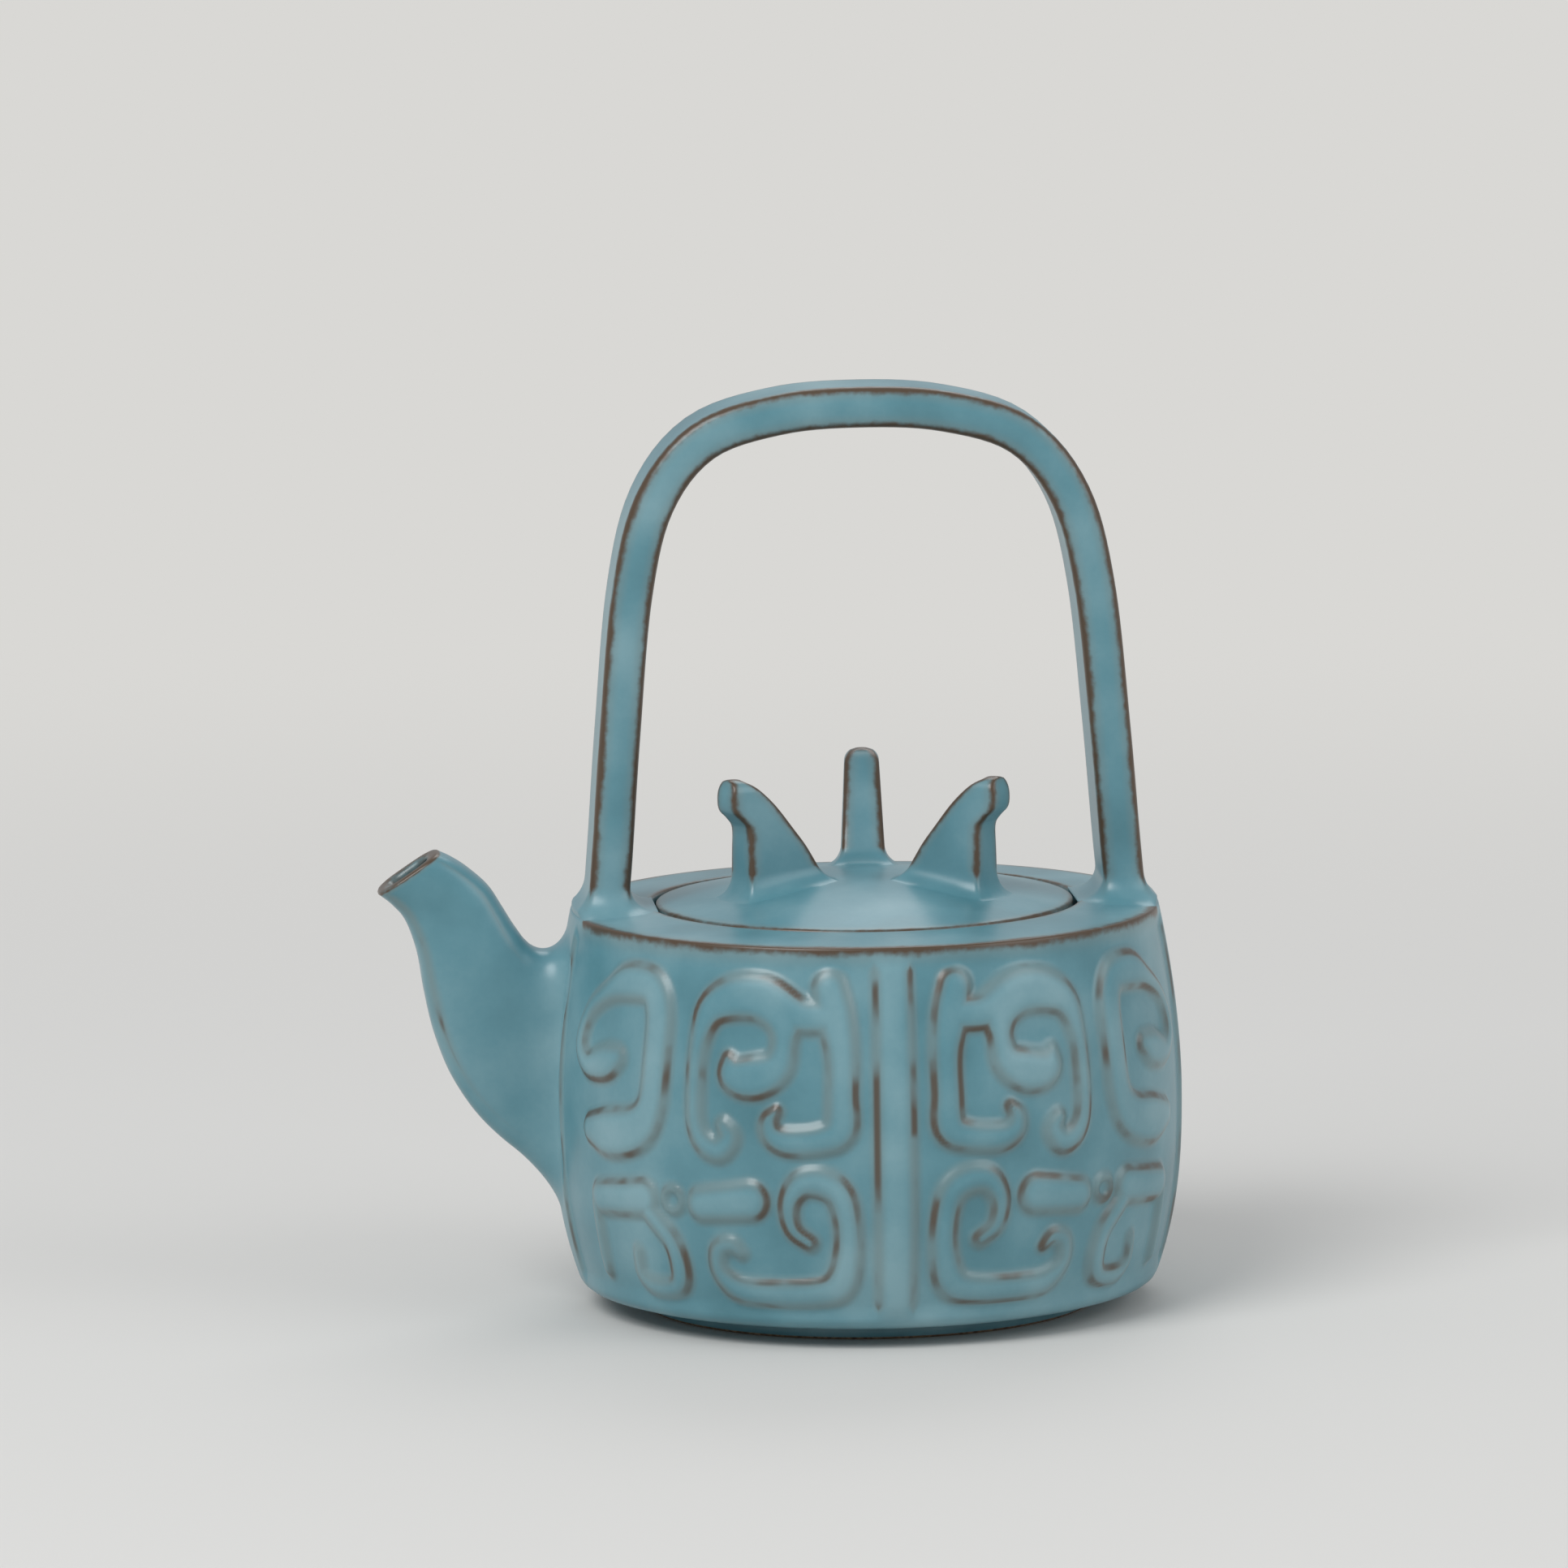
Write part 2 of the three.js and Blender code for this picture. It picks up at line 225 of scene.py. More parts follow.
def gridFaces(rows, columns, joinRows=False):
    i = np.arange(rows if joinRows else rows - 1)[:, None]
    j = np.arange(columns)[None, :]
    below, above = i * columns, ((i + 1) % rows) * columns
    nextJ = (j + 1) % columns
    quads = np.stack([below + j, below + nextJ, above + nextJ, above + j], axis=-1)
    return quads.reshape(-1, 4).tolist()


def addPiece(name, points, faces, body, nodes, material=glaze, slot="glaze", **distances):
    mesh = bpy.data.meshes.new(name)
    placed = np.asarray(points, dtype=float) * mm + np.array([axisX, 0, 0])
    mesh.from_pydata(placed.tolist(), [], faces)
    defaults = {"edgeDist": farFromEdge, "bandDist": farFromEdge, "swelling": 0.3}
    for attribute, fallback in defaults.items():
        values = distances.get(attribute)
        if values is None:
            values = np.full(len(placed), fallback)
        layer = mesh.attributes.new(attribute, "FLOAT", "POINT")
        layer.data.foreach_set("value", np.asarray(values, dtype=np.float32).ravel())
    tidy = bmesh.new()
    tidy.from_mesh(mesh)
    bmesh.ops.recalc_face_normals(tidy, faces=tidy.faces)
    tidy.to_mesh(mesh)
    tidy.free()
    mesh.polygons.foreach_set("use_smooth", [True] * len(mesh.polygons))
    mesh.materials.append(material)
    piece = bpy.data.objects.new(name, mesh)
    bpy.context.collection.objects.link(piece)
    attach(piece, body)
    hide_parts(*nodes)
    return piece


def turnedPoints(profile, columns):
    profile = np.asarray(profile, dtype=float)
    turn = np.arange(columns) * 2 * math.pi / columns
    r, z = profile[:, 0][:, None], profile[:, 1][:, None]
    return np.stack([r * np.cos(turn), r * np.sin(turn), z + 0 * turn], axis=-1).reshape(-1, 3)


# Turns a profile round the axis. One that starts and ends on the axis gets a point at each end.
def turnedShape(profile, columns):
    if profile[0][0] > 0:
        return turnedPoints(profile, columns), gridFaces(len(profile), columns, True)
    inner = profile[1:-1]
    points = turnedPoints(inner, columns)
    faces = gridFaces(len(inner), columns)
    bottom, top, lastRow = len(points), len(points) + 1, (len(inner) - 1) * columns
    for j in range(columns):
        nextJ = (j + 1) % columns
        faces.append((bottom, nextJ, j))
        faces.append((top, lastRow + j, lastRow + nextJ))
    return np.vstack([points, [[0, 0, profile[0][1]], [0, 0, profile[-1][1]]]]), faces


def spread(start, end, steps):
    return [(start[0] + (end[0] - start[0]) * i / steps, start[1] + (end[1] - start[1]) * i / steps)
            for i in range(1, steps + 1)]


# How far a concave fillet reaches out from a wall at a height over the surface it runs into.
def filletReach(height, radius):
    left = np.clip(radius - height, 0, radius)
    return radius - np.sqrt(np.maximum(radius**2 - left**2, 0))


# Section with two half sizes and rounded corners: points across and along, and each point's
# distance to the nearest corner's crest.
def roundedSection(halfA, halfB, corner, sideSteps=8, cornerSteps=5):
    points, crest = [], []
    corners = [(1, 1, 0), (-1, 1, 90), (-1, -1, 180), (1, -1, 270)]
    for index, (signA, signB, start) in enumerate(corners):
        centre = (signA * (halfA - corner), signB * (halfB - corner))
        for k in range(cornerSteps):
            turn = math.radians(start + 90 * k / (cornerSteps - 1))
            points.append((centre[0] + corner * math.cos(turn), centre[1] + corner * math.sin(turn)))
            crest.append(abs(k / (cornerSteps - 1) - 0.5) * corner * math.pi / 2)
        nextA, nextB, nextStart = corners[(index + 1) % 4]
        nextTurn = math.radians(nextStart)
        end = (nextA * (halfA - corner) + corner * math.cos(nextTurn),
               nextB * (halfB - corner) + corner * math.sin(nextTurn))
        first = points[-1]
        length = math.hypot(end[0] - first[0], end[1] - first[1])
        for k in range(1, sideSteps):
            part = k / sideSteps
            points.append((first[0] + (end[0] - first[0]) * part, first[1] + (end[1] - first[1]) * part))
            crest.append(min(part, 1 - part) * length + corner * math.pi / 4)
    return np.array(points), np.array(crest)


runOut = 0.03  # a fillet's thin edge ends this far under the surface that it runs into


# Heights over a surface that follow a fillet evenly: close together where it runs out flat.
def filletHeights(radius, steps):
    return radius * (np.arange(steps + 1) / steps) ** 2.2


def smoothLine(controls, steps):
    controls = np.asarray(controls, dtype=float)
    padded = np.vstack([2 * controls[0] - controls[1], controls, 2 * controls[-1] - controls[-2]])
    line = []
    for i in range(len(controls) - 1):
        a, b, c, d = padded[i : i + 4]
        for k in range(steps):
            t = k / steps
            line.append(0.5 * (2 * b + (c - a) * t + (2 * a - 5 * b + 4 * c - d) * t**2
                               + (3 * b - a - 3 * c + d) * t**3))
    line.append(controls[-1])
    return np.array(line)


# the drum: wall, rim, shoulder and inside, with the relief raised on its wall

drum = {
    "rimRadius": 60.5, "rimHeight": 82.3, "bellyRadius": 65, "bellyHeight": 44,
    "baseRadius": 59.5, "baseHeight": 5.4, "wall": 4, "mouthRadius": 44.1, "shoulderRise": 1,
    "turnedIn": 48.2, "underside": 3.7, "floorTop": 7.7, "shoulderUnderside": 79.3,
    "columns": 640, "wallRows": 112,
    "ground": -0.85,  # the field between the bands lies this far under the plain strips
    "bandHeight": 0.95, "bandRise": 1.9, "bandCrown": 0.45, "bandWiden": 0.25,
    "frontStrip": 4.2, "sideStrip": 10.5,  # half widths
    "fieldLow": 5.4, "fieldHigh": 81.8, "fieldFade": 4.5,
}

# Relief bands of one quarter of the drum, traced along their middles: picture place
# across and down, and half width, in picture units of a sixth of a millimetre.
pictureUnit = 1 / 6
pictureAxis = 1069
pictureMiddle = 966
reliefBands = {
    "upperHook": [(892, 1386, 9), (899, 1401, 13), (886, 1416, 15), (868, 1406, 14), (858, 1380, 12),
                  (857, 1330, 12), (860, 1285, 13), (872, 1246, 20), (900, 1231, 26), (935, 1232, 28),
                  (962, 1252, 26), (965, 1285, 16), (957, 1315, 20), (930, 1328, 26), (905, 1325, 21),
                  (897, 1305, 8)],
    "upperBridge": [(950, 1238, 27), (985, 1254, 21), (1018, 1256, 20)],
    "upperReturn": [(1021, 1222, 21), (1028, 1255, 23), (1036, 1300, 19), (1036, 1350, 18),
                    (1034, 1393, 20), (1010, 1406, 18), (970, 1408, 17), (951, 1398, 14),
                    (948, 1382, 11), (956, 1370, 6)],
    "upperSquare": [(730, 1387, 19), (752, 1393, 30), (785, 1388, 28), (803, 1360, 22), (808, 1300, 21),
                    (808, 1245, 22), (795, 1215, 22), (765, 1209, 22), (742, 1220, 14), (722, 1242, 12),
                    (714, 1280, 14), (724, 1307, 16), (745, 1306, 22), (760, 1300, 14)],
    "lowerBlock": [(738, 1472, 21), (792, 1474, 23)],
    "lowerStem": [(731, 1480, 9), (731, 1562, 9)],
    "lowerCurl": [(798, 1492, 14), (822, 1530, 14), (828, 1568, 15), (818, 1588, 13), (792, 1587, 13),
                  (776, 1570, 9), (776, 1541, 7)],
    "lowerBar": [(864, 1483, 21), (922, 1480, 24)],
    "lowerHook": [(994, 1534, 9), (974, 1516, 10), (970, 1485, 12), (985, 1461, 16), (1010, 1459, 18),
                  (1032, 1475, 17), (1041, 1510, 16), (1041, 1550, 17), (1030, 1587, 20), (1000, 1599, 18),
                  (930, 1598, 17), (898, 1590, 16), (878, 1567, 11), (880, 1541, 11), (896, 1535, 10),
                  (908, 1546, 6)],
}
reliefEye = {"across": 827, "down": 1477, "radius": 14, "half": 4.5}


def drumRadius(z):
    z = np.clip(z, drum["baseHeight"], drum["rimHeight"])
    below = np.clip((drum["bellyHeight"] - z) / (drum["bellyHeight"] - drum["baseHeight"]), 0, 1)
    above = np.clip((z - drum["bellyHeight"]) / (drum["rimHeight"] - drum["bellyHeight"]), 0, 1)
    return (drum["bellyRadius"] - (drum["bellyRadius"] - drum["baseRadius"]) * below**2.6
            - (drum["bellyRadius"] - drum["rimRadius"]) * above**1.8)


def shoulderHeight(r):
    inward = (drum["rimRadius"] - r) / (drum["rimRadius"] - drum["mouthRadius"])
    return drum["rimHeight"] + drum["shoulderRise"] * np.clip(inward, 0, 1)


# A place in the picture, laid on the drum's wall: millimetres round it from the front line
# towards the spout, and height.
def onWall(across, down):
    sideways = (across - pictureAxis) * pictureUnit
    seen = math.asin(max(-0.999, min(0.999, sideways / drum["bellyRadius"])))
    away = -drum["bellyRadius"] * math.cos(seen)
    slope = math.radians(cameraValues["pitch"]) + math.atan((down - pictureMiddle) / cameraValues["focalPixels"])
    height = cameraValues["height"] / mm - (cameraValues["distance"] / mm + away) * math.tan(slope)
    return (math.radians(cameraValues["azimuth"]) - seen) * drum["bellyRadius"], height


# Distance outside a band's border, negative on the band.
def outsideBand(u, z, start, end, startHalf, endHalf):
    along = np.array(end) - np.array(start)
    lengthSquared = max(float(along @ along), 1e-9)
    part = np.clip(((u - start[0]) * along[0] + (z - start[1]) * along[1]) / lengthSquared, 0, 1)
    distance = np.hypot(u - start[0] - part * along[0], z - start[1] - part * along[1])
    return distance - (startHalf + (endHalf - startHalf) * part) - drum["bandWiden"]


# Each quarter of the drum carries the same bands, mirrored about the front, back and side lines.
def reliefField(turn, z):
    fromFront = np.abs((turn + math.pi / 2 + math.pi / 2) % math.pi - math.pi / 2)
    u = fromFront * drum["bellyRadius"]
    outside = np.full(u.shape, farFromEdge)
    for band in reliefBands.values():
        placed = smoothLine([onWall(x, y) + (half * pictureUnit,) for x, y, half in band], 5)
        for a, b in zip(placed, placed[1:]):
            outside = np.minimum(outside, outsideBand(u, z, a[:2], b[:2], a[2], b[2]))
    eyeU, eyeZ = onWall(reliefEye["across"], reliefEye["down"])
    eye = np.abs(np.hypot(u - eyeU, z - eyeZ) - reliefEye["radius"] * pictureUnit)
    outside = np.minimum(outside, eye - reliefEye["half"] * pictureUnit)
    outside = np.minimum(outside, u - drum["frontStrip"])
    quarter = drum["bellyRadius"] * math.pi / 2
    strip = quarter - drum["sideStrip"] - u
    ends = np.minimum(z - drum["fieldLow"], drum["fieldHigh"] - z) / drum["fieldFade"]
    return outside, strip, smoothStep(ends)


def smoothStep(value):
    value = np.clip(value, 0, 1)
    return value * value * (3 - 2 * value)


def makeDrum():
    top, mouth = drum["rimHeight"], drum["mouthRadius"]
    wallLow, wallHigh = drum["baseHeight"] + 0.8, top - 0.5
    under = [(drum["turnedIn"], drum["underside"]), (53, 3.8), (56.5, 4.05), (58.3, 4.6), (59.2, 5.3)]
    wall = [(float(drumRadius(z)), z) for z in np.linspace(wallLow, wallHigh, drum["wallRows"])]
    rim = [(drum["rimRadius"] + 0.02, top - 0.2), (drum["rimRadius"] - 0.12, top),
           (drum["rimRadius"] - 0.45, top + 0.07)]
    shoulderEdge = (mouth + 0.9, top + 0.98)
    plate = spread((59.6, top + 0.08), shoulderEdge, 8)
    inner = [(mouth + 0.3, top + 0.9), (mouth, top + 0.5), (mouth, drum["shoulderUnderside"])]
    inner += [(56.8, drum["shoulderUnderside"])]
    inner += [(float(drumRadius(z)) - drum["wall"], z) for z in (76, 60, 44, 24, 12)]
    inner += [(54.4, drum["floorTop"] + 0.2), (drum["turnedIn"], drum["floorTop"])]
    profile = np.array(under + wall + rim + plate + inner)
    columns = drum["columns"]
    turn = np.tile(np.arange(columns) * 2 * math.pi / columns, (len(profile), 1))
    r = np.tile(profile[:, 0][:, None], (1, columns))
    z = np.tile(profile[:, 1][:, None], (1, columns))

    rows = slice(len(under), len(under) + len(wall))
    outside, strip, field = reliefField(turn[rows], z[rows])
    onBand = smoothStep(0.5 - outside / drum["bandRise"])
    crown = smoothStep(-outside / 3.4)  # a band swells a little towards its middle
    sunk = smoothStep(0.5 + strip / drum["bandRise"]) * field
    r[rows] += sunk * (drum["ground"] + drum["bandHeight"] * onBand + drum["bandCrown"] * crown)
    swelling = np.full(r.shape, 0.3)
    swelling[rows] = 0.3 + sunk * (0.5 * crown - 0.12)
    bandDist = np.full(r.shape, farFromEdge)
    crest = 0.45  # the line lies on the band's side of its border, where the surface turns over
    bandDist[rows] = np.where(strip > 0, np.abs(outside + crest) + 3 * (1 - field), farFromEdge)
    bandDist[rows] = np.minimum(bandDist[rows], np.abs(strip + crest) + 0.25 + 3 * (1 - field))
    edgeDist = np.hypot(profile[:, 0] - drum["rimRadius"], profile[:, 1] - top) * 0.72
    legReach = np.abs(np.sin(turn)) * drum["rimRadius"]  # no sharp rim under the handle's feet
    underLeg = smoothStep((14.5 - legReach) / 3.5) * 4
    mouthEdge = np.hypot(profile[:, 0] - mouth - 0.3, profile[:, 1] - top - 0.9) + 0.55
    edgeDist = np.minimum(edgeDist[:, None] + underLeg, mouthEdge[:, None])
    points = np.stack([r * np.cos(turn), r * np.sin(turn), z], axis=-1).reshape(-1, 3)
    addPiece("pot_drum", points, gridFaces(len(profile), columns, True), "pot", ["body_wall", "shoulder"],
             edgeDist=edgeDist, bandDist=bandDist, swelling=swelling)


makeDrum()
print("drum and relief made")

# the plain turned pieces: floor, foot, seat for the lid, and the lid's collar

turned = {
    "floor": {"radius": 47.9, "low": 3.7, "high": 7.7},
    "foot": {"outer": 47, "inner": 42, "height": 3.4, "round": 0.9},
    "seat": {"inner": 39, "outer": 52, "low": 75.7, "high": 79, "round": 0.6},
    "collar": {"inner": 34.4, "outer": 38, "low": 72, "high": 79, "round": 0.9},
    "columns": 240,
}


def roundedRing(inner, outer, low, high, radius):
    profile = []
    for centreR, centreZ, start in ((outer - radius, low + radius, -90), (outer - radius, high - radius, 0),
                                    (inner + radius, high - radius, 90), (inner + radius, low + radius, 180)):
        for k in range(5):
            turn = math.radians(start + 90 * k / 4)
            profile.append((centreR + radius * math.cos(turn), centreZ + radius * math.sin(turn)))
    return profile


def makeTurnedPieces():
    floor, foot, seat, collar = (turned[k] for k in ("floor", "foot", "seat", "collar"))
    floorEdge = floor["radius"]
    floorProfile = [(0, floor["low"]), (20, floor["low"]), (floorEdge, floor["low"]),
                    (floorEdge, floor["high"]), (20, floor["high"]), (0, floor["high"])]
    addPiece("pot_floor", *turnedShape(floorProfile, turned["columns"]), "pot", ["base_floor"])
    footProfile = roundedRing(foot["inner"], foot["outer"], 0, foot["height"], foot["round"])
    footPiece = addPiece("pot_foot", *turnedShape(footProfile, turned["columns"]), "pot", ["foot_ring"],
                         slot="bare_clay")
    footPiece.data.materials.append(clay)
    for face in footPiece.data.polygons:
        face.material_index = int(face.center.z < foot["round"] * 0.7 * mm)
    seatProfile = roundedRing(seat["inner"], seat["outer"], seat["low"], seat["high"], seat["round"])
    addPiece("lid_ledge", *turnedShape(seatProfile, turned["columns"]), "pot", ["lid_seat"])
    collarProfile = roundedRing(collar["inner"], collar["outer"], collar["low"], collar["high"], collar["round"])
    addPiece("lid_locating_collar", *turnedShape(collarProfile, turned["columns"]), "lid", ["lid_collar"])


makeTurnedPieces()
print("floor, foot, ledge and collar made")

# the lid and its three fins

lid = {
    "radius": 43, "rise": 6, "thickness": 3.6, "columns": 240, "edge": 83.3, "underside": 79.3,
    "collarInner": 34.4,
    "finTurn": 85.3, "finCount": 3, "finFoot": 4.9, "finCrown": 3.5,  # half thicknesses
    "finBase": 84, "finTop": 110.5, "finFillet": 3.8, "finCorner": 1.1, "finRows": 56, "topRound": 2.6,
    "finFollow": 7, "finSink": 0.4,
}
finInner = [(11.2, 84), (12.5, 90), (15.1, 95.3), (18.7, 100.2), (22.7, 105.2), (26.6, 108.8), (29.4, 110.4)]
finOuter = [(29.2, 84), (29.2, 95), (29.3, 100.2), (30.6, 102.3), (32.4, 104.2), (32.8, 107), (32.2, 110.4)]


def lidHeight(r):
    return lid["edge"] + lid["rise"] * np.clip(1 - (r / lid["radius"]) ** 2, 0, 1) ** 1.15


def makeLid():
    edge, radius = lid["edge"], lid["radius"]
    crown = [(r, float(lidHeight(r))) for r in np.linspace(radius - 0.9, 1.5, 24)]
    hollow = [(r, float(lidHeight(r)) - lid["thickness"]) for r in np.linspace(2, 33, 12)]
    profile = [(0, hollow[0][1])] + hollow
    profile += [(lid["collarInner"], lid["underside"]), (radius - 0.9, lid["underside"])]
    profile += [(radius - 0.2, lid["underside"] + 0.4), (radius, lid["underside"] + 1)]
    profile += [(radius, edge - 0.7), (radius - 0.12, edge - 0.25), (radius - 0.4, edge + 0.02)]
    profile += crown + [(0, float(lidHeight(0)))]
    points, faces = turnedShape(profile, lid["columns"])
    r = np.hypot(points[:, 0], points[:, 1])
    edgeDist = np.hypot(r - radius + 0.15, points[:, 2] - edge + 0.2) + 0.4
    addPiece("lid_dome", points, faces, "lid", ["lid_disc"], edgeDist=edgeDist)


def makeFin(name, node, turn):
    ground = float(lidHeight((finInner[0][0] + finOuter[0][0]) / 2))
    low = filletHeights(lid["finFillet"], 12)
    high = np.linspace(low[-1], lid["finTop"] - ground, lid["finRows"])[1:]
    innerLine, outerLine = smoothLine(finInner, 12), smoothLine(finOuter, 12)
    rows, crests = [], []
    for row, lift in enumerate(np.concatenate([[0], low, high])):
        z = ground + lift
        nearAxis = float(np.interp(z, innerLine[:, 1], innerLine[:, 0]))
        farSide = float(np.interp(z, outerLine[:, 1], outerLine[:, 0]))
        climb = (z - lid["finBase"]) / (lid["finTop"] - lid["finBase"])
        rounding = math.sqrt(max(0, 1 - max(0, 1 - (lid["finTop"] - z) / lid["topRound"]) ** 2))
        half = (lid["finFoot"] + (lid["finCrown"] - lid["finFoot"]) * climb) * (0.35 + 0.65 * rounding)
        halfLong = (farSide - nearAxis) / 2
        corner = min(lid["finCorner"], halfLong * 0.8)
        section, crest = roundedSection(halfLong, half, corner, 8, 5)
        middle = (nearAxis + farSide) / 2
        outward = section / np.maximum(np.hypot(section[:, 0], section[:, 1])[:, None], 1e-6)
        side = np.where(np.abs(section[:, 1]) > half - corner - 0.01, np.sign(section[:, 1]), 0)
        ends = np.where(np.abs(section[:, 0]) > halfLong - corner - 0.01, np.sign(section[:, 0]), 0)
        push = np.stack([ends, side], axis=-1)
        push = np.where(np.hypot(push[:, 0], push[:, 1])[:, None] > 0, push, outward)
        push = push / np.maximum(np.hypot(push[:, 0], push[:, 1])[:, None], 1e-6)
        reach = float(filletReach(lift, lid["finFillet"]))
        spreadOut = section + push * reach
        surface = lidHeight(np.hypot(middle + spreadOut[:, 0], spreadOut[:, 1]))
        follow = 1 - float(smoothStep(lift / lid["finFollow"]))  # low rows follow the lid's slope
        settled = z + (surface - ground) * follow - (lid["finSink"] if row == 0 else runOut)
        rows.append(np.column_stack([middle + spreadOut[:, 0], spreadOut[:, 1], settled]))
        topGap = (lid["finTop"] - z) * 1.3
        fade = np.clip((4.2 - lift) * 0.8, 0, 3)
        crests.append(np.minimum(crest + fade, topGap + 0.6))
    columns = len(rows[0])
    points = np.vstack(rows)
    angle = math.radians(turn)
    x = points[:, 0] * math.cos(angle) - points[:, 1] * math.sin(angle)
    y = points[:, 0] * math.sin(angle) + points[:, 1] * math.cos(angle)
    points = np.column_stack([x, y, points[:, 2]])
    faces = gridFaces(len(rows), columns)
    capTop, capLow = len(points), len(points) + 1
    last = (len(rows) - 1) * columns
    for j in range(columns):
        nextJ = (j + 1) % columns
        faces.append((capTop, last + j, last + nextJ))
        faces.append((capLow, nextJ, j))
    points = np.vstack([points, points[last:].mean(axis=0) + [0, 0, 0.15], points[:columns].mean(axis=0)])
    crest = np.concatenate([np.concatenate(crests), [0.1, farFromEdge]])
    addPiece(name, points, faces, "lid", [node], edgeDist=crest)


makeLid()
for number, place in enumerate(("rear", "left", "right")):
    makeFin(f"lid_fin_{place}", f"fin_{place}", lid["finTurn"] + number * 360 / lid["finCount"])
print("lid and fins made")

# the handle: one arched bar, luted to the shoulder with a soft fillet inside and at its sides

handle = {
    "thickness": 8.4, "depth": 19, "corner": 1.25, "pillow": 0.9, "fillet": 6, "footSink": 0.6, "rows": 96,
    "levelBy": 10, "flushBy": 12,
}
handleMiddle = [(53.4, 82.6), (52.2, 96), (50.4, 119), (47.5, 148), (42.6, 167), (32.6, 179.4), (17, 184.6),
                (0, 185.8)]


def makeHandle():
    mirrored = handleMiddle + [(-x, z) for x, z in reversed(handleMiddle[:-1])]
    dense = smoothLine(mirrored, 40)
    run = np.concatenate([[0], np.cumsum(np.hypot(*np.diff(dense, axis=0).T))])
    foot = filletHeights(handle["fillet"] + 1, 16)
    bar = np.linspace(foot[-1], run[-1] - foot[-1], handle["rows"])
    places = np.concatenate([[0], foot[:-1], bar, run[-1] - foot[-2::-1], [run[-1]]])
    line = np.column_stack([np.interp(places, run, dense[:, k]) for k in (0, 1)])
    along = np.column_stack([np.interp(places, run, np.gradient(dense[:, k], run)) for k in (0, 1)])
    along /= np.hypot(along[:, 0], along[:, 1])[:, None]
    halfA, halfB = handle["thickness"] / 2, handle["depth"] / 2
    section, crest = roundedSection(halfA, halfB - handle["pillow"], handle["corner"], 10, 5)
    bulge = 1 - (section[:, 0] / halfA) ** 2  # the two broad faces are slightly crowned
    section[:, 1] += np.sign(section[:, 1]) * bulge * handle["pillow"] * (np.abs(section[:, 1]) > halfB * 0.8)
    rows, crests = [], []
    for row, ((x, z), (dx, dz), place) in enumerate(zip(line, along, places)):
        lift = min(place, run[-1] - place)  # how far up its leg this row is
        level = float(smoothStep(lift / handle["levelBy"]))  # rows lie flat at the foot, square to the bar above
        outward = np.array([dz, -dx])
        px = x + section[:, 0] * (outward[0] * level + np.sign(outward[0]) * (1 - level))
        pz = z + section[:, 0] * outward[1] * level
        py = section[:, 1].copy()
        reach = float(filletReach(lift, handle["fillet"]))
        across = np.clip(section[:, 0] / halfA, -1, 1) * np.sign(outward[0])
        flank = np.abs(section[:, 1]) / (halfB - handle["pillow"])
        px = px + np.sign(across) * np.abs(across) ** 5 * reach
        py = py + np.sign(section[:, 1]) * np.clip(flank, 0, 1) ** 5 * reach
        radial = np.hypot(px, py)
        limit = drum["rimRadius"] - 0.25
        ease = float(smoothStep(lift / handle["flushBy"]))
        pull = np.where(radial > limit, limit / radial, 1)
        pull = pull + (1 - pull) * ease
        px, py = px * pull, py * pull
        surface = shoulderHeight(np.hypot(px, py))
        pz = np.where(lift < handle["levelBy"], surface * (1 - level) + pz * level + lift * (1 - level), pz)
        pz = pz - (handle["footSink"] if row in (0, len(places) - 1) else runOut)
        rows.append(np.column_stack([px, py, pz]))
        crests.append(crest + np.clip(3 - lift * 0.5, 0, 3))
    columns = len(section)
    points = np.vstack(rows)
    faces = gridFaces(len(rows), columns)
    startCap, endCap, last = len(points), len(points) + 1, (len(rows) - 1) * columns
    for j in range(columns):
        nextJ = (j + 1) % columns
        faces.append((startCap, nextJ, j))
        faces.append((endCap, last + j, last + nextJ))
    points = np.vstack([points, points[:columns].mean(axis=0), points[last:].mean(axis=0)])
    edgeDist = np.concatenate([np.concatenate(crests), [farFromEdge, farFromEdge]])
    addPiece("arch_handle", points, faces, "pot", ["handle"], edgeDist=edgeDist)


makeHandle()
print("handle made")

# the spout: hollow, hooked, running into the drum with a wide soft fillet

spout = {"wall": 3, "squareness": 3.3, "columns": 96, "stepsBetween": 12, "fillet": 8.5, "boreRows": 26,
         "rows": 60, "length": 75, "sink": 0.9,
         "flankShare": 0.2}  # the fillet is this much slighter beside the spout, where the wall's strip ends
# stations from root to mouth: lower point, upper point (both in the plane of the handle), half width
spoutStations = [
    (-56, 25, -54, 69, 8), (-68, 30, -58, 70, 8), (-78.5, 38.6, -64, 72, 7.9), (-85.2, 48, -69, 75.4, 7.8),
    (-89, 57.5, -72.2, 79.6, 7.7), (-91, 66.5, -74.6, 83.6, 7.5), (-92.3, 74.6, -77.4, 88, 7.3),
    (-94.6, 81.4, -81.4, 91.7, 7.1), (-97.4, 84.9, -84.6, 93.9, 7), (-100.1, 87.1, -87.6, 95.4, 6.9),
]


def spoutRing(station, inset):
    lowX, lowZ, highX, highZ, half = station
    reach = math.hypot(highX - lowX, highZ - lowZ) / 2
    up = ((highX - lowX) / (2 * reach), (highZ - lowZ) / (2 * reach))
    turn = np.arange(spout["columns"]) * 2 * math.pi / spout["columns"]
    c, s = np.cos(turn), np.sin(turn)
    power = 2 / spout["squareness"]
    u = np.sign(c) * np.abs(c) ** power * (reach - inset)
    v = np.sign(s) * np.abs(s) ** power * (half - inset)
    middle = ((lowX + highX) / 2, (lowZ + highZ) / 2)
    normal = np.stack([c * up[0], s, c * up[1]], axis=-1)
    return np.stack([middle[0] + up[0] * u, v, middle[1] + up[1] * u], axis=-1), normal


